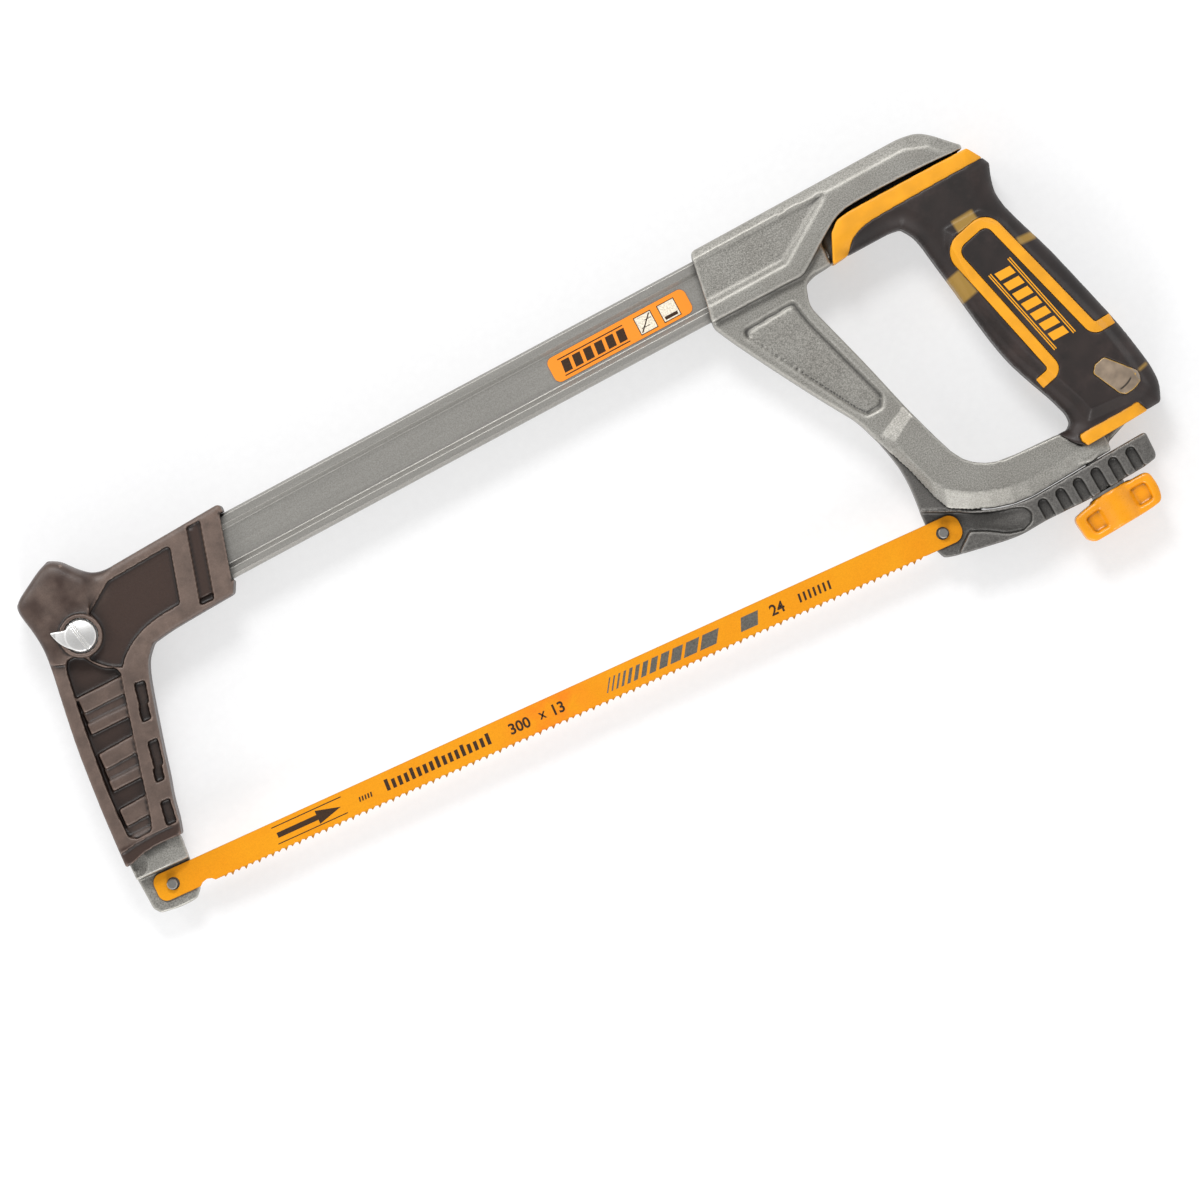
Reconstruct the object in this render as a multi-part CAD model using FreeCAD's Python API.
"""High-tension hacksaw: an aluminium spine between a front arm under a moulded cover and a cast D-handle
frame, with a tension lever, wing knob and a replaceable 300 mm blade.

The saw lies on its right side: +X runs along the blade from the front pin to the rear pin,
    +Y from the blade
to the spine, +Z out of the left side. Shapes are drawn about the front blade pin with z = 0 in the middle
plane, and every part is moved at the end so that the origin is the middle of the underside. Millimetres.
"""
import FreeCAD, Part
import math
import os
from FreeCAD import Vector

# ---------------------------------------------------------------- driving dimensions
BLADE_PITCH = 300.0          # between the blade pins
THROAT_DEPTH = 95.0          # pin line to the underside of the spine, halfway along
HANDLE_HALF = 15.5           # half thickness of the grip over its flat pads
BOSS_HALF = 15.5             # half thickness of the nose over its screw bosses

BLADE_THICKNESS = 0.65
BLADE_TOP = 5.2
BLADE_BOTTOM = -4.9
TOOTH_DEPTH = 1.1
TOOTH_PITCH = 2.6
BLADE_HOLE_R = 2.3
PIN_R = 1.9                  # what the blade hangs on
PIN_SHANK_R = 2.6            # pressed into the casting
PIN_PROUD = 2.6              # top of a pin over the middle plane
SEAT_TOP = 6.3
SEAT_GAP = 0.05              # under the blade

SPINE_HEIGHT = 22.0
SPINE_HALF = 7.5             # half thickness over the flanges
SPINE_RECESS = 1.6           # depth of the web's side faces
SPINE_WALL = 1.9
SPINE_CLEARANCE = 0.15
RIVET_SPOTS = (12.0, 30.0)
RIVET_R = 2.0
LOCK_SPOTS = (-33.0, -13.0)  # lock pins, from the spine's rear end
LOCK_R = 2.5
LABEL_THICKNESS = 0.2

ARM_HALF = 6.5               # front arm
COVER_HALF = 11.5
COVER_FLOOR = 7.4            # outside face of the cover at the bottom of its ladder
COVER_CLEARANCE = 0.2
PANEL_DEPTH = 1.5            # sunk panel of the neck
GROOVE_DEPTH = 1.3           # slanted groove round the collar band
POCKET_DEPTH = 2.4           # at the groove's ends
NOTCH_DEPTH = 2.8            # along the ladder's rim
FOOT_BAND_DEPTH = 1.0
BULB_HALF = 14.0
BOSS_R = 7.7
BOSS_BORE_R = 6.2
SCREW_HEAD_R = 5.7
NUT_FLAT = 8.0
CLAMP_SEAT = 12.4            # floor of the left boss's counterbore
COVER_SCREW_R = 1.5
COVER_HEADS = 8.8            # seat of the cover screws' heads, from the middle plane
COVER_SCREW_END = 8.6        # tip of the cover screws in the left half, kept under its floor

COLLAR_HALF = 13.0
STRUT_HALF = 8.5
BAR_HALF = 10.5
SKIRT_HALF = 7.2             # outer foot of the bar's bevel
BARREL_BOSS_HALF = 8.5
POST_HALF = 5.0              # the frame's leg inside the handle
COLLAR_PANEL_DEPTH = 1.6
STRUT_POCKET_DEPTH = 1.5
ISLAND_DROP = 0.7            # island's face under the strut's
CORE_HALF = 12.0             # hard handle shells
RUBBER_HALF = 12.8           # rubber beside its raised pads
ACCENT_WIDTH = 4.0
HANDLE_SCREW_R = 1.8
HANDLE_HEADS = 9.0           # seat of the handle screws' heads
HANDLE_SCREW_END = 9.5
WINDOW_DEPTH = 1.6           # of the smoky inlay in the grip

LEVER_HALF = 7.8
WEB_HALF = 6.5               # lever between the frame's cheeks
CHANNEL_HALF = 6.9
PIVOT_R = 3.0
RUNNING = 0.05               # radial clearance of a turning fit
PIVOT_END = 9.2              # the pin is driven in from the right and stops short of the left face
BARREL_END = 5.5
SCOOP_END = 31.5             # where the slope behind the blade's seat ends
SEAT_END = 8.9               # where the blade's seat stops behind the rear pin
FLUTES = 6
FLUTE_PITCH = 7.15
FLUTE_WIDTH = 3.8
FLUTE_DEPTH = 2.4
FLUTE_LENGTH = 12.0          # out through the tail's lower edge
SCOOP_DEPTH = 3.0            # on the right side

SCREW_R = 2.5                # tension screw
SCREW_ROOM = 0.95            # round the screw in nut and frame, for the lever's tilt
BARREL_R = 4.2
BARREL_WALL = 1.4            # casting round the barrel nut
RING_R = 4.2                 # retaining ring
CLAMP_R = 2.5                # nose clamp screw
PAD_AT = 6.9                 # lever's underside, along the screw's axis from the knob's centre
TAIL_TOP_AT = 17.6           # lever's upper face there
BARREL_AT = 23.6
SCREW_TOP_AT = 26.5
RING_AT = 14.9               # the ring's seat in the lever
KNOB_HALF_LENGTH = 16.0
KNOB_HALF_THICKNESS = 8.0    # radius of the knob's hub
WING_HALF = 6.0
DISH_DEPTH = 2.0             # in each wing

# Heights are drawn for this throat; the zone between the two levels stretches when THROAT_DEPTH changes.
DRAWN_THROAT = 95.0
STRETCH_FROM = 24.0
STRETCH_TO = 76.0

Z = Vector(0, 0, 1)
SOFT_TURN = math.radians(35)     # corners gentler than this are blended without a stated radius


# ---------------------------------------------------------------- outlines and solids
def rise(y):
    """The height of a drawn point at the chosen throat depth."""
    share = (y - STRETCH_FROM) / (STRETCH_TO - STRETCH_FROM)
    return y + (THROAT_DEPTH - DRAWN_THROAT) * min(1.0, max(0.0, share))


def front(points):
    """Points (x, y[, corner radius]) drawn about the front pin."""
    return [(p[0], rise(p[1])) + tuple(p[2:]) for p in points]


def rear(points):
    """Points drawn about the rear pin."""
    return [(BLADE_PITCH + p[0], rise(p[1])) + tuple(p[2:]) for p in points]


def blended_wire(corners):
    """A closed wire through corners [(vector, radius or None)], with tangent arcs at its corners."""
    count = len(corners)
    trims = []
    for i, (corner, radius) in enumerate(corners):
        back = corners[i - 1][0] - corner
        ahead = corners[(i + 1) % count][0] - corner
        room = 0.48 * min(back.Length, ahead.Length)
        back.normalize()
        ahead.normalize()
        half = 0.5 * back.getAngle(ahead)
        turn = math.pi - 2 * half
        if radius is None and 0.01 < turn < SOFT_TURN:
            reach = room
        elif radius and turn > 0.01:
            reach = min(room, radius / math.tan(half))
        else:
            trims.append((corner, corner, None))
            continue
        middle = back + ahead
        middle.normalize()
        depth = reach / math.cos(half) - reach * math.tan(half)
        trims.append((corner + back * reach, corner + ahead * reach, corner + middle * depth))
    edges = []
    for i, (start, end, through) in enumerate(trims):
        if through is not None:
            edges.append(Part.Arc(start, through, end).toShape())
        following = trims[(i + 1) % count][0]
        if (following - end).Length > 1e-6:
            edges.append(Part.LineSegment(end, following).toShape())
    return Part.Wire(edges)


def flat_wire(points, z=0.0):
    corners = [(Vector(p[0], p[1], z), p[2] if len(p) > 2 else None) for p in points]
    return blended_wire(corners)


def plate(points, low, high):
    """An outline given thickness from z = low to z = high."""
    return Part.Face(flat_wire(points, low)).extrude(Vector(0, 0, high - low))


def drafted(bottom, top, low, high):
    """A solid with sloped sides between two outlines that have the same number of corners."""
    wires = []
    for points, z in ((bottom, low), (top, high)):
        corners = [Vector(p[0], p[1], z) for p in points]
        wires.append(Part.makePolygon(corners + corners[:1]))
    return Part.makeLoft(wires, True, True)


def rod(x, y, low, high, radius):
    """A cylinder along Z."""
    return Part.makeCylinder(radius, high - low, Vector(x, y, low), Z)


def turned(origin, axis, profile):
    """A solid of revolution from (distance along the axis, radius) points."""
    side = axis.cross(Z)
    points = [origin + axis * a + side * r for a, r in profile]
    face = Part.Face(Part.makePolygon(points + points[:1]))
    return face.revolve(origin, axis, 360)


def fused(shapes):
    solid = shapes[0]
    if len(shapes) > 1:
        solid = solid.multiFuse(shapes[1:])
    return solid.removeSplitter()


def cut(solid, tools):
    for tool in tools:
        solid = solid.cut(tool)
    return solid.removeSplitter()


def other_side(shape):
    return shape.mirror(Vector(0, 0, 0), Z)


def both_sides(shapes):
    return shapes + [other_side(shape) for shape in shapes]


def stroke(path, width):
    """The outline of a band of even width along a path of (x, y[, radius]) points with free ends."""
    places = [Vector(p[0], p[1], 0) for p in path]
    radii = [p[2] if len(p) > 2 else 0 for p in path]
    sides = []
    for sign in (1, -1):
        side = []
        for i, place in enumerate(places):
            arrive = places[i] - places[i - 1] if i > 0 else places[1] - places[0]
            leave = places[i + 1] - places[i] if i + 1 < len(places) else arrive
            arrive.normalize()
            leave.normalize()
            across = Z.cross(arrive) + Z.cross(leave)
            across.normalize()
            reach = 0.5 * width / max(0.3, across.dot(Z.cross(arrive)))
            outer = sign * arrive.cross(leave).z < 0
            radius = radii[i] + (0.5 if outer else -0.5) * width if radii[i] else 0
            spot = place + across * (sign * reach)
            side.append((spot.x, spot.y, max(radius, 0.3) if radii[i] else 0))
        sides.append(side)
    return sides[0] + sides[1][::-1]


def bevel_tool(start, end, depth, drop, face_half):
    """A wedge that bevels the edge start-end (inside on its right): depth into the side,
    drop off the face."""
    a = Vector(start[0], start[1], 0)
    b = Vector(end[0], end[1], 0)
    along = b - a
    along.normalize()
    inwards = along.cross(Z)
    over = 3.0
    corners = []
    for side, height in ((-over, -drop * (1 + over / depth)), (-over, over), (depth + 0.01, over),
                         (depth, 0.0)):
        corners.append(a - along * over + inwards * side + Z * (face_half + height))
    face = Part.Face(Part.makePolygon(corners + corners[:1]))
    return face.extrude(along * ((b - a).Length + 2 * over))


# ---------------------------------------------------------------- the spine's own line
SPINE_FRONT = front([(22.0, 97.75)])[0]
SPINE_REAR = rear([(2.0, 115.95)])[0]
SPINE_START = Vector(SPINE_FRONT[0], SPINE_FRONT[1], 0)
SPINE_ALONG = Vector(SPINE_REAR[0], SPINE_REAR[1], 0) - SPINE_START
SPINE_LENGTH = SPINE_ALONG.Length
SPINE_ALONG.normalize()
SPINE_UP = Z.cross(SPINE_ALONG)


def on_spine(points):
    """Points (distance along the spine, height over its middle line[, radius])."""
    placed = []
    for p in points:
        spot = SPINE_START + SPINE_ALONG * p[0] + SPINE_UP * p[1]
        placed.append((spot.x, spot.y) + tuple(p[2:]))
    return placed


def spine_box(start, end, half_height, half_thickness):
    points = on_spine([(start, -half_height), (end, -half_height), (end, half_height),
                       (start, half_height)])
    return plate([p + (0,) for p in points], -half_thickness, half_thickness)


def spine_section(profile, start, end):
    """A section given as (height, z, radius) corners, run along the spine."""
    corners = []
    for height, z, radius in profile:
        corners.append((SPINE_START + SPINE_ALONG * start + SPINE_UP * height + Z * z, radius))
    return Part.Face(blended_wire(corners)).extrude(SPINE_ALONG * (end - start))


CAVITY_HALF_HEIGHT = 0.5 * SPINE_HEIGHT - 2.5
CAVITY_HALF = SPINE_HALF - SPINE_RECESS - SPINE_WALL


def spine_beam():
    """Extruded tube with a broad sunk web on each side."""
    top = 0.5 * SPINE_HEIGHT
    web = SPINE_HALF - SPINE_RECESS
    side = [(top, SPINE_HALF - 1.0, 0.6), (top - 0.8, SPINE_HALF, 0.5), (top - 3.6, SPINE_HALF, 0.5),
            (top - 5.2, web, 0.8), (-top + 5.2, web, 0.8), (-top + 3.5, SPINE_HALF, 0.5),
            (-top + 1.2, SPINE_HALF, 0.5), (-top, SPINE_HALF - 1.0, 0.6)]
    profile = side + [(height, -z, radius) for height, z, radius in side[::-1]]
    solid = spine_section(profile, 0, SPINE_LENGTH)
    tools = [spine_box(-1, SPINE_LENGTH + 1, CAVITY_HALF_HEIGHT, CAVITY_HALF)]
    for spot in RIVET_SPOTS:
        x, y = on_spine([(spot, 0)])[0]
        tools.append(rod(x, y, -SPINE_HALF, SPINE_HALF, RIVET_R))
    for spot in LOCK_SPOTS:
        x, y = on_spine([(SPINE_LENGTH + spot, 0)])[0]
        tools.append(rod(x, y, -SPINE_HALF, 0, LOCK_R))
    return cut(solid, tools)




def spine_label():
    """Printed foil in the web's left side."""
    middle = SPINE_LENGTH - 77.6
    web = SPINE_HALF - SPINE_RECESS
    points = on_spine([(middle - 27.5, -4.7, 2.4), (middle + 27.5, -4.7, 2.4),
                       (middle + 27.5, 4.7, 2.4), (middle - 27.5, 4.7, 2.4)])
    return plate(points, web, web + LABEL_THICKNESS)


# ---------------------------------------------------------------- front arm
ARM_INSIDE = [(9.1, 16), (9.9, 27), (11.7, 40), (14.2, 53), (17.8, 68), (20.8, 80), (24.0, 87.0, 0),
              (22.5, 109.0, 0), (17.0, 109.0), (11.5, 114.0, 3), (6.5, 117.5, 3), (-3.5, 111.5, 3),
              (-5.4, 107.5, 2), (-3.9, 98), (-3.6, 88), (-5.2, 75), (-7.8, 50), (-8.6, 30), (-8.8, 16)]
ARM_FOOT = [(-10.9, 14), (-10.6, 5), (-10.1, 0), (-9.8, -5.2, 2.2), (-7.9, -7.7, 1.5), (0, -8.7),
            (5.8, -8.3, 2.5),
            (8.4, -5.4, 1.5), (9.3, 5.3), (9.9, 14), (9.1, 16), (-8.8, 16)]
CLAMP_AT = (7.5, 93.2)
COVER_SCREWS = [(3.5, 106.5), (2.0, 50.0), (-1.0, 24.0)]


def arm_outline(extra):
    """The arm inside its cover, grown all round."""
    face = Part.Face(flat_wire(front(ARM_INSIDE)))
    return face.makeOffset2D(extra) if extra else face


def front_arm():
    """Die-cast arm: blade foot, tapered leg, head and the tongue that the spine slides over."""
    leg = arm_outline(0).extrude(Vector(0, 0, 2 * ARM_HALF))
    leg.translate(Vector(0, 0, -ARM_HALF))
    leg = leg.cut(spine_box(-0.1, 40, SPINE_HEIGHT, 2 * SPINE_HALF))
    foot = plate(front(ARM_FOOT), -ARM_HALF, ARM_HALF)
    tongue = spine_box(-3, RIVET_SPOTS[1] + 6, CAVITY_HALF_HEIGHT - 0.1, CAVITY_HALF - 0.1)
    solid = fused([leg, foot, tongue])
    seat = -0.5 * BLADE_THICKNESS - SEAT_GAP
    tools = [
        Part.makeBox(40, 40, 20, Vector(-20, SEAT_TOP - 40, seat)),
        rod(0, 0, -ARM_HALF - 1, 1, PIN_SHANK_R),
        rod(*front([CLAMP_AT])[0], -20, 20, CLAMP_R + RUNNING),
    ]
    tools += both_sides(foot_facets())
    for spot in front(COVER_SCREWS):
        tools.append(rod(*spot, -20, 20, COVER_SCREW_R))
    for spot in RIVET_SPOTS:
        tools.append(rod(*on_spine([(spot, 0)])[0], -20, 20, RIVET_R))
    return cut(solid, tools)


def foot_facets():
    """The scooped corner and the sloped facet over the blade's seat."""
    scoop = Part.makeSphere(6.0, Vector(-9.2, 11.6, ARM_HALF + 3.6))
    low = [(2.0, 5.0), (4.6, 15.5), (14, 15.5), (14, 5.0)]
    facet = drafted([(10.5, 5.0), (11.5, 15.5), (14, 15.5),
                     (14, 5.0)], low, ARM_HALF - 3.0, ARM_HALF + 0.01)
    return [scoop, facet]


def blade_pin(x):
    """Shouldered pin: thick shank in the casting, thin end for the blade."""
    seat = -0.5 * BLADE_THICKNESS - SEAT_GAP
    profile = [(-ARM_HALF, 0), (-ARM_HALF, PIN_SHANK_R), (seat, PIN_SHANK_R), (seat, PIN_R),
               (PIN_PROUD - 0.4, PIN_R), (PIN_PROUD, PIN_R - 0.4), (PIN_PROUD, 0)]
    return revolved_z(x, 0, profile)


def revolved_z(x, y, profile):
    """A solid of revolution about a line along Z, from (z, radius) points."""
    points = [Vector(x + radius, y, z) for z, radius in profile]
    face = Part.Face(Part.makePolygon(points + points[:1]))
    return face.revolve(Vector(x, y, 0), Z, 360)


def front_arm_rivets():
    """Two countersunk-type rivets through the spine's web and the arm's tongue."""
    web = SPINE_HALF - SPINE_RECESS
    rivets = []
    for spot in RIVET_SPOTS:
        x, y = on_spine([(spot, 0)])[0]
        profile = [(-web - 1.3, 0), (-web - 1.3, 2.6), (-web, 3.4), (-web, RIVET_R), (web, RIVET_R),
                   (web, 3.4), (web + 1.3, 2.6), (web + 1.3, 0)]
        rivets.append(revolved_z(x, y, profile))
    return Part.makeCompound(rivets)


# ---------------------------------------------------------------- nose cover
COVER = [(-12.0, 12.0, 0.4), (-11.9, 20), (-11.7, 30), (-11.3, 40), (-10.8, 50), (-10.1, 60), (-8.4, 75),
         (-7.0, 86), (-6.5, 94), (-7.6, 102), (-9.5, 109), (-9.2, 112), (-7.0, 114.2), (-3.0, 116.6),
         (3.0, 120.4), (7.3, 122.2), (11.0, 120.6), (15.4, 115.4), (19.5, 112.0), (24.0, 110.8),
    (50.0, 113.4),
         (71.2, 115.6, 1.8), (71.2, 112.4, 0), (69.8, 112.4, 0), (64.0, 88.9, 0), (64.8, 88.7, 0.5),
         (62.6, 84.3, 1.5), (50.0, 83.1), (37.0, 81.7), (29.5, 80.2), (25.6, 76.0), (23.3, 70.0),
         (20.8, 60), (17.1, 44.2), (15.3, 35.3), (13.2, 27.6), (12.1, 19.8), (10.7, 14.7, 0.5), (5.0, 15.0),
         (0.0, 14.8), (-5.0, 14.0), (-8.5, 12.6)]
PANEL = [(13.5, 99.2, 0.5), (24.0, 106.9, 1), (49.3, 109.5, 1.2), (44.0, 88.9, 1.4), (35.0, 88.0),
         (28.0, 86.1),
         (22.6, 83.3), (18.6, 80.0), (16.2, 77.0, 0.5), (12.0, 79.0), (8.3, 82.3), (6.5, 85.0, 0.5),
    (10.0, 86.0),
         (13.6, 88.6), (15.2, 92.4), (14.6, 96.5)]
LADDER = [(-0.6, 87.4, 1.2), (-2.3, 84.5), (-4.8, 65), (-6.0, 50), (-6.8, 40), (-7.0, 30),
          (-6.8, 21.6, 1.8),
          (-4.2, 19.6, 1.5), (1.8, 20.2, 1.5), (4.0, 27.0), (6.0, 37.0), (8.5, 48.0), (10.5, 57.0),
    (12.4, 65.5),
          (14.8, 75.4, 1), (14.0, 77.8, 0.6), (10.0, 79.6), (6.6, 83.6), (4.6, 87.6, 0.8)]
# Each tread of the ladder: left and right height of its top edge, its depth along y, and its level.
TREADS = [(73.6, 74.4, 5.8, 10.2), (67.9, 68.4, 4.2, 9.0), (63.7, 64.3, 3.8, 9.8),
          (52.4, 54.2, 5.8, 10.2), (46.6, 48.0, 4.3, 9.0), (42.3, 43.4, 3.8, 9.8),
          (31.6, 33.4, 6.4, 10.2), (25.2, 26.6, 3.8, 9.0), (21.4, 22.6, 2.2, 9.8)]
TREAD_START = -2.9           # left end of the top tread, clear of the rim
TREAD_LEAN = 0.065           # how far the treads' left ends lean outwards, mm per mm down
RIM_NOTCHES = [[(17.4, 70.2), (21.6, 69.8), (19.7, 61.8), (15.9, 61.8)],
               [(15.4, 61.9), (19.0, 61.9), (18.0, 56.2), (14.4, 56.2)],
               [(13.2, 49.4), (17.2, 49.4), (15.3, 39.9), (11.6, 39.9)],
               [(10.9, 40.0), (14.5, 40.0), (13.4, 34.8), (10.0, 34.8)],
               [(8.5, 28.2), (12.2, 28.2), (11.1, 19.4), (7.1, 19.4)]]
BAND_GROOVE = [(57.0, 112.6, 0.3), (62.6, 113.2, 0.3), (55.7, 85.4, 0.3), (50.2, 85.4, 0.3)]
BAND_POCKETS = [[(56.6, 111.4), (62.0, 112.2), (62.5, 113.0), (56.9, 112.4)],
                [(50.2, 85.4), (55.6, 85.6), (56.2, 88.0), (50.8, 87.6)]]
BULB = [(-9.3, 109.5), (-9.0, 112.0), (-6.8, 114.0), (3.0, 120.0), (7.3, 121.8), (10.8, 120.2),
        (14.6, 114.8),
        (18.5, 110.0, 3), (13.5, 99.4, 2), (0.0, 85.5, 4), (-6.9, 88.0, 2), (-6.3, 94.0), (-7.5, 102.0)]
FOOT_BAND = [(-13.0, 16.8), (-6.0, 18.2), (2.0, 19.0), (13.0, 19.2), (13.0, 13.0), (-13.0, 10.0)]


def cover_half():
    """One moulded half shell, drawn on the left."""
    body = plate(front(COVER), 0, COVER_HALF)
    bulb = plate(front(BULB), 0, BULB_HALF)
    boss = rod(*front([CLAMP_AT])[0], 0, BOSS_HALF, BOSS_R)
    solid = cut(fused([body, bulb]), [plate(front(LADDER), COVER_FLOOR, 30)])
    solid = fused([solid, boss] + ladder_treads())
    leg = arm_outline(COVER_CLEARANCE).extrude(Vector(0, 0, ARM_HALF + COVER_CLEARANCE + 1))
    leg.translate(Vector(0, 0, -1))
    foot = plate(front(ARM_FOOT), -1, ARM_HALF + COVER_CLEARANCE)
    sleeve = spine_box(-1, 80, 0.5 * SPINE_HEIGHT + SPINE_CLEARANCE, SPINE_HALF + SPINE_CLEARANCE)
    tools = [leg, foot, sleeve, rod(*front([CLAMP_AT])[0], -1, 30, CLAMP_R + RUNNING)]
    tools.append(plate(front(PANEL), COVER_HALF - PANEL_DEPTH, BULB_HALF - 1.0).cut(boss))
    tools.append(plate(front(BAND_GROOVE), COVER_HALF - GROOVE_DEPTH, 30))
    tools += [plate([p + (0,) for p in front(pocket)], COVER_HALF - POCKET_DEPTH,
                    30) for pocket in BAND_POCKETS]
    tools += [plate([p + (0,) for p in front(notch)], COVER_HALF - NOTCH_DEPTH,
                    30) for notch in RIM_NOTCHES]
    tools.append(plate([p + (0,) for p in front(FOOT_BAND)], COVER_HALF - FOOT_BAND_DEPTH, 30))
    return cut(solid, tools)


def ladder_treads():
    """Sloped treads across the ladder's opening."""
    opening = plate(front(LADDER), COVER_FLOOR - 0.5, 30)
    steps = []
    for left, right, depth, level in TREADS:
        start = TREAD_START + TREAD_LEAN * (left - TREADS[0][0])
        points = front([(start, left), (16.0, right), (16.0, right - depth), (start, left - depth)])
        steps.append(plate([p + (0,) for p in points], COVER_FLOOR - 0.4, level).common(opening))
    return steps


def cover_screw_holes(head_z):
    tools = []
    for spot in front(COVER_SCREWS):
        tools.append(rod(*spot, -0.5, 30, COVER_SCREW_R))
        tools.append(rod(*spot, head_z, 30, 2 * COVER_SCREW_R + 0.2))
    return tools




def nose_cover_left():
    x, y = front([CLAMP_AT])[0]
    blind = [rod(*spot, -0.5, COVER_SCREW_END, COVER_SCREW_R) for spot in front(COVER_SCREWS)]
    return cut(cover_half(), [rod(x, y, CLAMP_SEAT, 30, BOSS_BORE_R)] + blind)


def nose_cover_right():
    x, y = front([CLAMP_AT])[0]
    tools = cover_screw_holes(COVER_HEADS)
    tools.append(hexagon(x, y, NUT_FLAT + 0.2, BOSS_HALF - 5.0, 30))
    return other_side(cut(cover_half(), tools))




def hexagon(x, y, flats, low, high):
    radius = 0.5 * flats / math.cos(math.pi / 6)
    corners = []
    for i in range(6):
        angle = math.radians(60 * i + 20)
        corners.append((x + radius * math.cos(angle), y + radius * math.sin(angle), 0))
    return plate(corners, low, high)


def nose_cover_screws():
    screws = []
    for x, y in front(COVER_SCREWS):
        profile = [(-COVER_HEADS - 1.8, 0), (-COVER_HEADS - 1.8, 2 * COVER_SCREW_R - 0.4),
                   (-COVER_HEADS - 1.4, 2 * COVER_SCREW_R), (-COVER_HEADS, 2 * COVER_SCREW_R),
                   (-COVER_HEADS, COVER_SCREW_R), (COVER_SCREW_END - 1.2, COVER_SCREW_R),
    (COVER_SCREW_END - 0.3, 0)]
        head = revolved_z(x, y, profile)
        slot = Part.makeBox(0.9, 5, 1, Vector(x - 0.45, y - 2.5, -COVER_HEADS - 2.3))
        screws.append(cut(head, [slot, slot.copy().rotated(Vector(x, y, 0), Z, 90)]))
    return Part.makeCompound(screws)


def clamp_nut():
    x, y = front([CLAMP_AT])[0]
    nut = hexagon(x, y, NUT_FLAT, -BOSS_HALF + 0.6, -BOSS_HALF + 4.9)
    return cut(nut, [rod(x, y, -30, 0, CLAMP_R + RUNNING)])


def clamp_washer():
    x, y = front([CLAMP_AT])[0]
    return cut(rod(x, y, CLAMP_SEAT, CLAMP_SEAT + 0.8, BOSS_BORE_R - 0.1),
               [rod(x, y, 0, 30, CLAMP_R + RUNNING)])


LEAF = [(-2.2, 98.6, 0.4), (4.3, 96.9), (8.0, 98.2, 0), (9.5, 92.0, 0), (7.0, 87.7, 1), (4.0, 89.0),
        (1.0, 91.5),
        (-1.0, 94.6)]


def nose_clamp_screw():
    """Slotted disc head with a leaf-shaped wing, on a shank that runs through both cover halves."""
    x, y = front([CLAMP_AT])[0]
    head_low = CLAMP_SEAT + 0.8 + RUNNING
    head_top = BOSS_HALF + 1.5
    profile = [(-BOSS_HALF + 0.8, 0), (-BOSS_HALF + 0.8, CLAMP_R - 0.4), (-BOSS_HALF + 1.2, CLAMP_R),
               (head_low, CLAMP_R), (head_low, SCREW_HEAD_R), (head_top - 0.4, SCREW_HEAD_R),
               (head_top, SCREW_HEAD_R - 0.4), (head_top, 0)]
    leaf = plate(front(LEAF), BOSS_HALF + 0.3, head_top - 0.1)
    slot = plate([p + (0,) for p in front([(5.2, 99.5), (6.5, 99.5), (9.2, 86.8),
                                           (7.9, 86.8)])], head_top - 1.0, 30)
    return cut(fused([revolved_z(x, y, profile), leaf]), [slot])


# ---------------------------------------------------------------- rear frame
COLLAR = [(-40.4, 127.4, 1.0), (0.0, 130.35), (43.0, 133.5), (49.5, 132.6), (53.5, 130.0), (60.4, 123.7),
          (62.0, 122.4, 0.6), (61.8, 121.0, 0), (50.0, 121.0), (30.0, 120.2), (16.0, 118.9), (11.0, 117.2),
          (5.0, 113.0), (-5.0, 105.4), (-8.2, 103.3), (-12.0, 103.3), (-44.0, 101.4, 0.3), (-42.9, 108.3),
          (-41.0, 124.5)]
COLLAR_PANEL_RIM = [(-50.0, 106.5), (-11.4, 109.3), (11.2, 125.8), (11.0, 127.4), (-50.0, 124.5)]
COLLAR_PANEL_FLOOR = [(-50.0, 108.8), (-12.0, 111.3), (8.2, 126.2), (8.0, 126.4), (-50.0, 122.6)]
STRUT = [(-44.0, 104.0), (-43.8, 99.2, 4), (-40.0, 92.2), (-30.0, 76.0), (-20.0, 60.6), (-11.4, 48.2),
         (-8.6, 40.9), (-5.4, 33.0, 0), (11.0, 33.0, 0), (7.9, 40.5), (5.0, 49.1), (0.0, 64.5),
    (-10.1, 92.5, 9),
         (-7.5, 102.0, 5), (3.0, 103.0, 0), (3.0, 112.0, 0), (-6.0, 108.0, 0)]
STRUT_POCKET = [(-36.8, 94.6, 2), (-14.4, 96.9, 1), (-12.4, 88.0), (0.6, 53.5, 3.5), (-1.4, 49.6),
                (-7.2, 48.9, 1.5),
                (-10.0, 51.8)]
STRUT_ISLAND = [(-34.6, 92.9, 1.5), (-16.0, 95.0, 1), (-14.2, 87.6), (-1.4, 53.2, 2.5), (-2.6, 51.6),
                (-7.0, 51.0, 1.2),
                (-8.6, 52.6)]
# The lower bar has a side face and, below it, a broad bevel down to the lever.
BAR_TOP = [(51.1, 15.0), (35.0, 14.8), (27.7, 15.2), (23.6, 16.4), (20.0, 18.3), (16.8, 21.0), (14.1, 25.2),
           (10.2, 34.5), (8.0, 40.6), (4.8, 49.6)]
BAR_SKIRT = [(-9.2, 42.4), (-6.0, 34.5), (-1.6, 23.8), (2.0, 12.8), (4.6, 7.2), (11.4, 3.6), (20.0, 0.6),
             (26.8, -0.9), (34.0, -1.2), (40.0, -0.6), (50.0, 0.5), (66.0, 2.2), (66.0, 9.6), (57.8, 8.9)]
BAR_EDGE = [(-2.8, 36.6), (-2.0, 33.0), (0.2, 27.0), (3.4, 19.0), (6.6, 14.2), (14.0, 9.5), (20.0, 7.3),
            (27.7, 5.2), (34.0, 4.6), (40.0, 5.1), (48.0, 6.0), (57.0, 7.2), (57.0, 7.6), (56.2, 8.2)]
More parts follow.
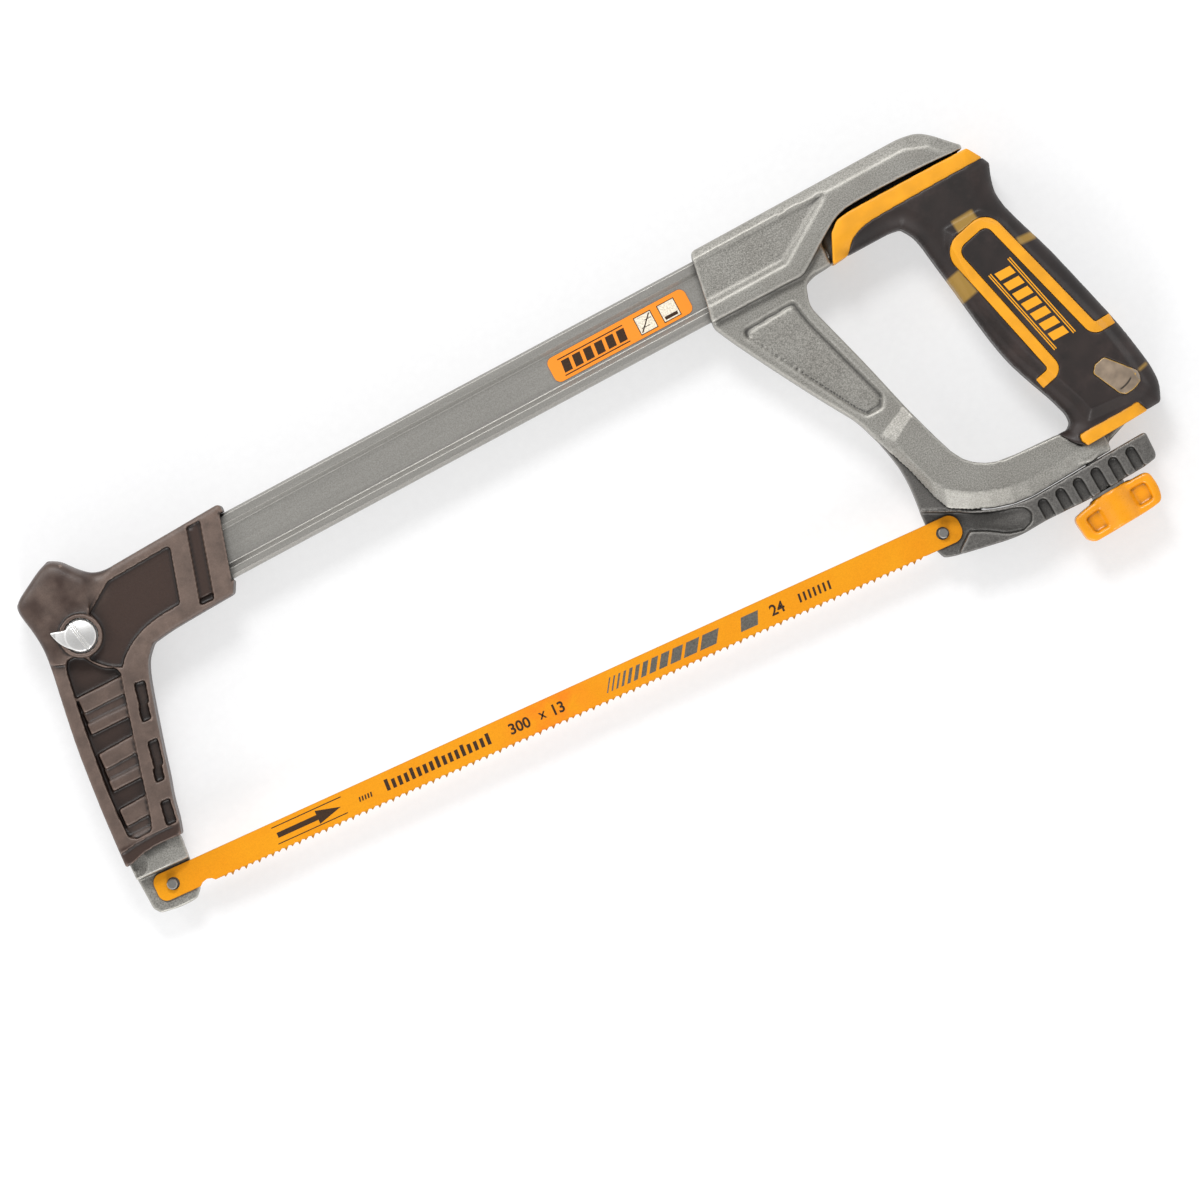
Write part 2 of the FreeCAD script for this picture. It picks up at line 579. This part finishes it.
BAR_FACE_TOP = BAR_TOP[:-1] + [(6.9, 42.8)]
POST = [(-9.6, 93.0), (-9.8, 96.5), (-8.3, 99.6), (-4.5, 101.6), (3.0, 102.5), (14.0, 106.0), (27.0, 107.4),
        (35.0, 104.0, 4), (38.8, 92.0), (43.8, 68.0), (50.0, 46.0), (58.5, 26.0), (60.2, 14.0),
    (59.0, 7.0, 0),
        (66.0, 5.0, 0), (79.0, 10.6, 0), (79.6, 16.0), (76.0, 32.0), (70.0, 55.0), (63.0, 78.0),
    (58.0, 100.0),
        (58.5, 112.0), (60.0, 122.0, 0), (50.0, 122.0), (20.0, 121.0), (4.0, 114.0), (-6.0, 106.0, 0),
        (-14.0, 100.0, 0)]
PIVOT_AT = (4.4, 27.0)
LEVER_CHANNEL = [(-9.6, 40.2), (3.6, 40.2, 3), (12.2, 33.6, 3), (12.2, 20.0), (13.6, 10.0), (17.5, 1.0, 0),
                 (17.5, -20.0, 0), (-20.0, -20.0, 0), (-20.0, 40.2, 0)]

# The tension screw's axis leans with the lever's tail.
TAIL_SLOPE = math.atan2(4.2, 39.5)
SCREW_AXIS = Vector(-math.sin(TAIL_SLOPE), math.cos(TAIL_SLOPE), 0)
SCREW_SIDE = Vector(math.cos(TAIL_SLOPE), math.sin(TAIL_SLOPE), 0)
KNOB_CENTRE = Vector(BLADE_PITCH + 60.0, -16.5, 0)


def screw_rod(start, end, radius):
    """A cylinder on the tension screw's axis, between two distances from the knob's centre."""
    return Part.makeCylinder(radius, end - start, KNOB_CENTRE + SCREW_AXIS * start, SCREW_AXIS)


def barrel_place():
    return KNOB_CENTRE + SCREW_AXIS * BARREL_AT


def frame_side():
    """The left half of the casting."""
    collar = plate(rear(COLLAR), 0, COLLAR_HALF)
    panel = drafted(rear(COLLAR_PANEL_FLOOR), rear(COLLAR_PANEL_RIM), COLLAR_HALF - COLLAR_PANEL_DEPTH,
                    COLLAR_HALF + 0.01)
    top = rear([(-40.4, 127.4), (43.0, 133.6), (53.5, 130.6), (62.0, 122.2)])
    bevels = [bevel_tool(top[0], top[1], 4.5, 2.6, COLLAR_HALF),
              bevel_tool(top[1], top[2], 4.5, 2.6, COLLAR_HALF),
              bevel_tool(top[2], top[3], 4.5, 2.6, COLLAR_HALF)]
    collar = cut(collar, [panel] + bevels)
    strut = plate(rear(STRUT), 0, STRUT_HALF)
    pocket = plate(rear(STRUT_POCKET), STRUT_HALF - STRUT_POCKET_DEPTH, 30)
    island = plate(rear(STRUT_ISLAND), STRUT_HALF - STRUT_POCKET_DEPTH - 0.1, STRUT_HALF - ISLAND_DROP)
    strut = cut(strut, [pocket])
    post = plate(rear(POST), 0, POST_HALF)
    return fused([collar, strut, island, post] + bar_side(0))


def bar_side(low):
    """The lower bar on one side: its bevelled body and the boss round the barrel nut."""
    skirt_points = rear(BAR_SKIRT + BAR_TOP)
    edge_points = rear(BAR_EDGE + BAR_FACE_TOP)
    barrel = barrel_place()
    return [
        plate([p + (0,) for p in skirt_points], low, SKIRT_HALF),
        drafted(skirt_points, edge_points, SKIRT_HALF, BAR_HALF),
        rod(barrel.x, barrel.y, low, BARREL_BOSS_HALF, BARREL_R + BARREL_WALL),
    ]


def rear_frame():
    """One casting: spine collar, strut, forked lower bar, and the leg inside the handle."""
    side = frame_side()
    solid = fused([side, other_side(side)])
    pivot = rear([PIVOT_AT])[0]
    barrel = barrel_place()
    depth = SPINE_LENGTH + SPINE_CLEARANCE
    tools = [
        spine_box(SPINE_LENGTH - 60, depth, 0.5 * SPINE_HEIGHT + SPINE_CLEARANCE,
                  SPINE_HALF + SPINE_CLEARANCE),
        plate(rear(LEVER_CHANNEL), -CHANNEL_HALF, CHANNEL_HALF),
        rod(*pivot, -20, PIVOT_END, PIVOT_R),
        rod(barrel.x, barrel.y, -20, BARREL_END, BARREL_R),
        screw_rod(0, SCREW_TOP_AT + 1.5, SCREW_R + SCREW_ROOM),
    ]
    for spot in LOCK_SPOTS:
        tools.append(rod(*on_spine([(SPINE_LENGTH + spot, 0)])[0], -20, 0, LOCK_R))
    for spot in rear(HANDLE_SCREWS):
        tools.append(rod(*spot, -20, 20, HANDLE_SCREW_R))
    return cut(solid, tools)




def lever_pivot_pin():
    x, y = rear([PIVOT_AT])[0]
    profile = [(-BAR_HALF + 0.1, 0), (-BAR_HALF + 0.1, PIVOT_R - 0.5), (-BAR_HALF + 0.6, PIVOT_R),
               (PIVOT_END - 0.5, PIVOT_R), (PIVOT_END, PIVOT_R - 0.5), (PIVOT_END, 0)]
    return revolved_z(x, y, profile)


def spine_lock_pins():
    """Two pins pressed in from the right that hold the spine in the collar."""
    pins = []
    for spot in LOCK_SPOTS:
        x, y = on_spine([(SPINE_LENGTH + spot, 0)])[0]
        start = -COLLAR_HALF + COLLAR_PANEL_DEPTH + 0.1
        profile = [(start, 0), (start, LOCK_R - 0.4), (start + 0.4, LOCK_R), (-CAVITY_HALF, LOCK_R),
                   (-CAVITY_HALF, 0)]
        pins.append(revolved_z(x, y, profile))
    return Part.makeCompound(pins)


def barrel_nut():
    """Cross-drilled steel barrel that the tension screw pulls on."""
    place = barrel_place()
    barrel = rod(place.x, place.y, -7.0, BARREL_END - 0.1, BARREL_R)
    return cut(barrel, [screw_rod(0, 60, SCREW_R + SCREW_ROOM)])


# ---------------------------------------------------------------- tension lever
LEVER_TAIL = [(-4.5, 10.4, 0), (-4.7, -4.8, 2), (-3.2, -8.2, 1.5), (0.0, -9.1), (10.0, -10.5),
              (20.0, -11.8),
              (26.0, -12.0), (33.0, -11.1), (41.0, -10.8), (50.8, -10.54, 0), (74.2, -8.05, 0),
    (78.9, -6.9, 1.2),
              (79.8, -5.4), (79.5, 3.1, 0.8), (66.0, 1.75), (50.0, 0.05), (40.0, -1.0), (34.0, -1.6),
    (26.8, -1.3),
              (20.0, 0.2), (11.2, 3.2), (4.2, 6.7, 0), (2.0, 7.6, 0)]
LEVER_WEB = [(-7.9, 39.2, 1), (-5.9, 32.7), (-4.5, 26.4), (-4.0, 20.0), (-4.2, 13.6), (-4.5, 9.0, 0),
             (-4.5, 0.0, 0),
             (16.0, 0.0, 0), (12.6, 10.0), (11.2, 20.0), (11.2, 33.0, 3), (3.2, 39.2, 3)]
SCOOP = [(8.0, 4.4, 0), (12.0, 2.2), (20.0, -0.8), (26.8, -2.3), (29.8, -3.6, 2), (31.3, -6.2, 2),
         (30.0, -9.2, 2),
         (26.0, -10.9), (20.5, -9.7), (17.4, -7.8), (14.1, -5.8), (8.0, -3.2, 0)]
SCOOP_RIGHT = [(9.2, 4.0), (11.4, 2.6, 0.5)] + SCOOP[2:-1] + [(9.2, -4.0)]


def tension_lever():
    """Lever with the rear blade seat, its pivot web and a fluted tail."""
    tail = plate(rear(LEVER_TAIL), -LEVER_HALF, LEVER_HALF)
    web = plate(rear(LEVER_WEB), -WEB_HALF, WEB_HALF)
    solid = fused([tail, web])
    seat = -0.5 * BLADE_THICKNESS - SEAT_GAP
    x = BLADE_PITCH
    tools = [
        plate([p + (0,) for p in rear([(-20, -20), (2.6, -20), (2.6, -8.4), (SEAT_END, -3.2),
                                       (SEAT_END, 4.2), (2.6, 6.9), (-4.0, 9.9),
                                       (-20, 12)])], seat, 30),
        rod(x, 0, -20, 1, PIN_SHANK_R),
        rod(*rear([PIVOT_AT])[0], -20, 20, PIVOT_R + RUNNING),
        screw_rod(PAD_AT - 5, TAIL_TOP_AT + 5, SCREW_R + RUNNING),
        screw_rod(RING_AT - 0.1, TAIL_TOP_AT + 5, RING_R + 0.3),
    ]
    slope = [Vector(x + SEAT_END - 0.5, -30, seat), Vector(x + SCOOP_END, -30, LEVER_HALF - 1.4),
             Vector(x + SCOOP_END, -30, 30), Vector(x + SEAT_END - 0.5, -30, 30)]
    run_out = Part.Face(Part.makePolygon(slope + slope[:1])).extrude(Vector(0, 60, 0))
    tools.append(run_out.common(plate(rear(SCOOP), -1, 30)))
    tools.append(other_side(plate(rear(SCOOP_RIGHT), LEVER_HALF - SCOOP_DEPTH, 30)))
    tools += both_sides(flute_tools())
    return cut(solid, tools)


def flute_tools():
    """Round-topped grooves square to the tail's upper face."""
    tools = []
    half = 0.5 * FLUTE_WIDTH
    for i in range(FLUTES):
        top = Vector(BLADE_PITCH + 35.9 + FLUTE_PITCH * i, -3.3 + FLUTE_PITCH * i * math.tan(TAIL_SLOPE), 0)
        corners = []
        for side, along, radius in ((-half, 0, half), (half, 0, half), (half, -FLUTE_LENGTH, 0),
                                    (-half, -FLUTE_LENGTH, 0)):
            spot = top + SCREW_SIDE * side + SCREW_AXIS * along
            corners.append((spot.x, spot.y, radius))
        tools.append(plate(corners, LEVER_HALF - FLUTE_DEPTH, 30))
    return tools


# ---------------------------------------------------------------- tension screw and knob


def on_knob(points):
    """Points (across, along the screw's axis[, radius]) about the knob's centre."""
    placed = []
    for p in points:
        spot = KNOB_CENTRE + SCREW_SIDE * p[0] + SCREW_AXIS * p[1]
        placed.append((spot.x, spot.y) + tuple(p[2:]))
    return placed


def knob():
    """Moulded wing knob: a drum for a hub, and two dished wings with a raised rim."""
    reach = KNOB_HALF_LENGTH
    side = on_knob([(-reach, 3.6, 2), (-9.0, 5.0), (9.0, 5.4), (reach - 0.6, 5.2, 2.4), (reach, -2.0),
                    (reach - 1.6, -6.6, 2.4), (9.0, -7.2), (-9.0, -7.4), (-reach + 2.6, -7.3, 2.4),
    (-reach + 0.6, -5.0)])
    wings = plate(side, -WING_HALF, WING_HALF)
    left = on_knob([(-12.4, 1.6, 1), (-3.0, 2.6, 0), (-3.0, -4.8, 0), (-11.6, -4.8, 1)])
    right = on_knob([(3.0, 2.8, 0), (12.6, 2.4, 1), (12.2, -4.4, 1), (3.0, -4.6, 0)])
    wings = cut(wings, both_sides([plate(points, WING_HALF - DISH_DEPTH, 30) for points in (left, right)]))
    drum = screw_rod(-7.2, 5.85, KNOB_HALF_THICKNESS)
    return cut(fused([wings, drum]), [screw_rod(-5.0, 20, SCREW_R)])


def tension_screw():
    """Stud moulded into the knob, up through the lever's tail into the barrel nut."""
    tip = SCREW_TOP_AT
    profile = [(-5.0, 0), (-5.0, SCREW_R), (tip - 1.0, SCREW_R), (tip, SCREW_R - 1.0), (tip, 0)]
    return turned(KNOB_CENTRE, SCREW_AXIS, profile)


def thrust_washer():
    washer = screw_rod(PAD_AT - 1.05, PAD_AT - 0.05, 6.5)
    return cut(washer, [screw_rod(0, 20, SCREW_R)])


def screw_retaining_ring():
    """Keeps the screw in the lever."""
    ring = screw_rod(RING_AT, RING_AT + 1.0, RING_R)
    return cut(ring, [screw_rod(0, 40, SCREW_R)])


# ---------------------------------------------------------------- handle
GRIP = [(9.7, 103.3, 0), (26.8, 104.5), (30.6, 104.0), (33.6, 100.0), (35.0, 95.5), (36.4, 88.2),
        (38.2, 80.0),
        (40.9, 66.4), (43.2, 55.5), (45.9, 45.5), (50.3, 35.5), (54.2, 27.5), (57.0, 20.0), (56.8, 16.8),
        (55.0, 15.1, 0), (51.1, 15.0, 0), (55.4, 9.3), (58.4, 7.3, 0.5), (76.3, 9.1), (88.8, 10.5, 1.5),
    (91.2, 16.5),
        (91.0, 23.0), (89.4, 30.6), (86.5, 42.5), (80.0, 62.1), (75.0, 76.9), (70.0, 88.6), (66.8, 97.2),
        (66.0, 103.0), (67.4, 109.0), (68.6, 112.4), (67.0, 115.1, 0), (55.0, 114.3), (30.0, 112.1),
    (20.0, 111.0),
        (13.9, 108.6)]
TOP_BAND = [(3.3, 102.3, 0.4), (7.6, 113.0, 2), (11.2, 116.3, 3), (16.0, 117.3), (50.0, 119.7),
            (63.2, 120.4, 1),
            (67.0, 115.1, 0), (55.0, 114.3), (30.0, 112.1), (20.0, 111.0), (13.9, 108.6), (9.7, 103.3, 0)]
LOW_BAND = [(57.4, 9.0, 0.8), (57.6, 11.8, 0.5), (75.0, 13.1), (81.2, 13.9, 0.8), (83.4, 9.7, 0),
            (76.3, 8.9),
            (59.0, 7.1, 0)]
CORE = [(13.9, 108.6, 0), (16.0, 107.2, 1), (27.5, 107.4), (33.6, 105.0), (36.8, 100.0), (38.2, 95.5),
        (39.4, 88.6),
        (41.2, 80.4), (43.8, 67.0), (46.2, 56.1), (48.8, 46.6), (53.1, 36.8), (57.0, 28.8), (60.0, 20.4, 2),
        (59.6, 12.0, 0), (75.0, 13.2, 0), (86.8, 14.2, 1.5), (88.0, 22.4), (86.4, 30.0), (83.6, 41.6),
    (77.2, 61.0),
        (72.2, 75.8), (67.2, 87.4), (63.9, 96.2), (63.0, 103.0), (64.4, 109.8), (64.6, 114.9, 0),
    (55.0, 114.3),
        (30.0, 112.1), (20.0, 111.0)]
PAD_FOOT = [(41.6, 92.0), (44.0, 97.5), (58.0, 98.6), (64.6, 92.5), (70.5, 76.0), (76.4, 60.6),
            (82.6, 43.5),
            (86.2, 29.5), (87.6, 17.0), (84.0, 14.6), (62.0, 14.6), (60.2, 22.0), (54.0, 35.6),
    (49.4, 45.6),
            (45.4, 57.5), (42.6, 72.0)]
PAD_FACE = [(44.2, 90.5), (46.5, 94.6), (56.8, 95.6), (62.4, 90.6), (68.2, 75.0), (74.0, 60.0),
            (80.0, 43.0),
            (83.2, 30.0), (84.4, 21.0), (82.0, 18.2), (65.0, 18.2), (63.4, 23.0), (57.4, 36.6),
    (52.4, 46.6),
            (48.4, 58.5), (45.6, 73.0)]
ACCENT_PATH = [(52.4, 33.9), (59.6, 36.2, 3.2), (42.7, 90.1, 5.5), (59.3, 95.2, 5.0), (77.6, 43.6, 3.0),
               (85.4, 44.5)]
WINDOW = [(70.8, 29.4, 1.2), (72.6, 32.0), (76.6, 33.2, 1.2), (86.2, 23.4, 1.2), (85.0, 20.2), (81.9, 18.4),
          (78.4, 18.0), (76.4, 19.3, 1.0)]
HANDLE_SCREWS = [(48.0, 110.0), (69.0, 40.0), (70.5, 16.2)]


def core_half():
    """Hard shell: fills the handle under the rubber and shows as the two end bands."""
    solid = fused([plate(rear(CORE), 0, CORE_HALF), plate(rear(TOP_BAND), 0, CORE_HALF + 0.6),
                   plate(rear(LOW_BAND), 0, CORE_HALF + 0.4)])
    return cut(solid, [plate(rear(POST), -1, POST_HALF)] + bar_side(-1))


def handle_core_left():
    tools = [rod(*spot, -0.5, HANDLE_SCREW_END, HANDLE_SCREW_R) for spot in rear(HANDLE_SCREWS)]
    return cut(core_half(), tools)


def handle_core_right():
    tools = []
    for spot in rear(HANDLE_SCREWS):
        tools += [rod(*spot, -0.5, 30, HANDLE_SCREW_R),
                  rod(*spot, HANDLE_HEADS, 30, 2 * HANDLE_SCREW_R + 0.3)]
    return other_side(cut(core_half(), tools))


def accent_band_half():
    """Raised loop of hard plastic that shows through the rubber."""
    return plate(stroke(rear(ACCENT_PATH), ACCENT_WIDTH), CORE_HALF, HANDLE_HALF - 0.1).common(grip_body())


def grip_body():
    """Everything under the rubber's outer surface, on one side."""
    pad = drafted(rear(PAD_FOOT), rear(PAD_FACE), RUBBER_HALF, HANDLE_HALF)
    return fused([plate(rear(GRIP), 0, RUBBER_HALF), pad])


def grip_half():
    """Moulded rubber over the hard shell, open where the bands and the window show."""
    tools = [plate(rear(CORE), -1, CORE_HALF), plate(rear(LOW_BAND), -1, 30), plate(rear(TOP_BAND), -1, 30),
             plate(rear(POST), -1, POST_HALF), plate(stroke(rear(ACCENT_PATH), ACCENT_WIDTH),
                                                     CORE_HALF - 1, 30),
             plate(rear(WINDOW), HANDLE_HALF - WINDOW_DEPTH, 30)]
    return cut(grip_body(), tools + bar_side(-1))




def window_inlay_half():
    """Smoky translucent pad let into the rubber."""
    return plate(rear(WINDOW), HANDLE_HALF - WINDOW_DEPTH, HANDLE_HALF - 0.1).common(grip_body())


def grip_left():
    return grip_half()


def grip_right():
    tools = [rod(*spot, HANDLE_HEADS, 30, 2 * HANDLE_SCREW_R + 0.3) for spot in rear(HANDLE_SCREWS)]
    return other_side(cut(grip_half(), tools))


def handle_screws():
    screws = []
    for x, y in rear(HANDLE_SCREWS):
        head_r = 2 * HANDLE_SCREW_R
        profile = [(-HANDLE_HEADS - 2.2, 0), (-HANDLE_HEADS - 2.2, head_r - 0.5),
                   (-HANDLE_HEADS - 1.7, head_r),
                   (-HANDLE_HEADS, head_r), (-HANDLE_HEADS, HANDLE_SCREW_R),
    (HANDLE_SCREW_END - 1.5, HANDLE_SCREW_R),
                   (HANDLE_SCREW_END - 0.2, 0)]
        slot = Part.makeBox(1.0, 5.4, 1.2, Vector(x - 0.5, y - 2.7, -HANDLE_HEADS - 2.6))
        screws.append(cut(revolved_z(x, y, profile), [slot, slot.copy().rotated(Vector(x, y, 0), Z, 90)]))
    return Part.makeCompound(screws)


# ---------------------------------------------------------------- blade
def blade():
    """Thin strip with a hole at each end; tension pulls each hole against the far side of its pin."""
    slack = BLADE_HOLE_R - PIN_R - 0.02
    low = BLADE_BOTTOM
    points = [(-6.2, low, 3.4), (-6.2, BLADE_TOP, 3.4), (BLADE_PITCH + 6.6, BLADE_TOP, 4.2),
              (BLADE_PITCH + 6.6, low, 4.2)]
    x = BLADE_PITCH - 9.0
    teeth = int((BLADE_PITCH - 9.0 - 16.0) / TOOTH_PITCH)
    for i in range(teeth):
        tip = low - TOOTH_DEPTH * (1.0 if i % 2 else 0.55)
        points += [(x, low), (x - 0.35 * TOOTH_PITCH, low + 0.25), (x - 0.9 * TOOTH_PITCH, tip)]
        x -= TOOTH_PITCH
    points += [(x, low), (14.6, low), (13.6, low + 1.0), (11.9, low + 1.5), (10.0, low + 1.0), (8.8, low)]
    strip = plate([p if len(p) == 3 else p + (0,) for p in points], -0.5 * BLADE_THICKNESS,
                  0.5 * BLADE_THICKNESS)
    holes = [rod(slack, 0, -5, 5, BLADE_HOLE_R), rod(BLADE_PITCH - slack, 0, -5, 5, BLADE_HOLE_R)]
    return cut(strip, holes)


# ---------------------------------------------------------------- the whole saw
NODES = {
    "spine_beam": spine_beam,
    "spine_label": spine_label,
    "front_arm": front_arm,
    "front_arm_rivets": front_arm_rivets,
    "blade_pin_front": lambda: blade_pin(0),
    "nose_cover_left": nose_cover_left,
    "nose_cover_right": nose_cover_right,
    "nose_cover_screws": nose_cover_screws,
    "nose_clamp_screw": nose_clamp_screw,
    "clamp_washer": clamp_washer,
    "clamp_nut": clamp_nut,
    "rear_frame": rear_frame,
    "spine_lock_pins": spine_lock_pins,
    "lever_pivot_pin": lever_pivot_pin,
    "barrel_nut": barrel_nut,
    "tension_lever": tension_lever,
    "blade_pin_rear": lambda: blade_pin(BLADE_PITCH),
    "tension_screw": tension_screw,
    "knob": knob,
    "thrust_washer": thrust_washer,
    "screw_retaining_ring": screw_retaining_ring,
    "handle_core_left": handle_core_left,
    "handle_core_right": handle_core_right,
    "grip_left": grip_left,
    "grip_right": grip_right,
    "accent_band_left": accent_band_half,
    "accent_band_right": lambda: other_side(accent_band_half()),
    "window_inlay_left": window_inlay_half,
    "window_inlay_right": lambda: other_side(window_inlay_half()),
    "handle_screws": handle_screws,
    "blade": blade,
}


def main():
    shapes = {name: make() for name, make in NODES.items()}
    box = FreeCAD.BoundBox()
    for shape in shapes.values():
        box.add(shape.optimalBoundingBox(False, False))
    shift = Vector(-0.5 * (box.XMin + box.XMax), -0.5 * (box.YMin + box.YMax), -box.ZMin)
    os.makedirs("parts", exist_ok=True)
    for name, shape in shapes.items():
        shape.translate(shift)
        shape.exportStep(f"parts/{name}.step")
        print(name, shape.isValid(), len(shape.Solids), round(shape.Volume, 1))
    print("shift", shift, "size", box.XLength, box.YLength, box.ZLength)


main()
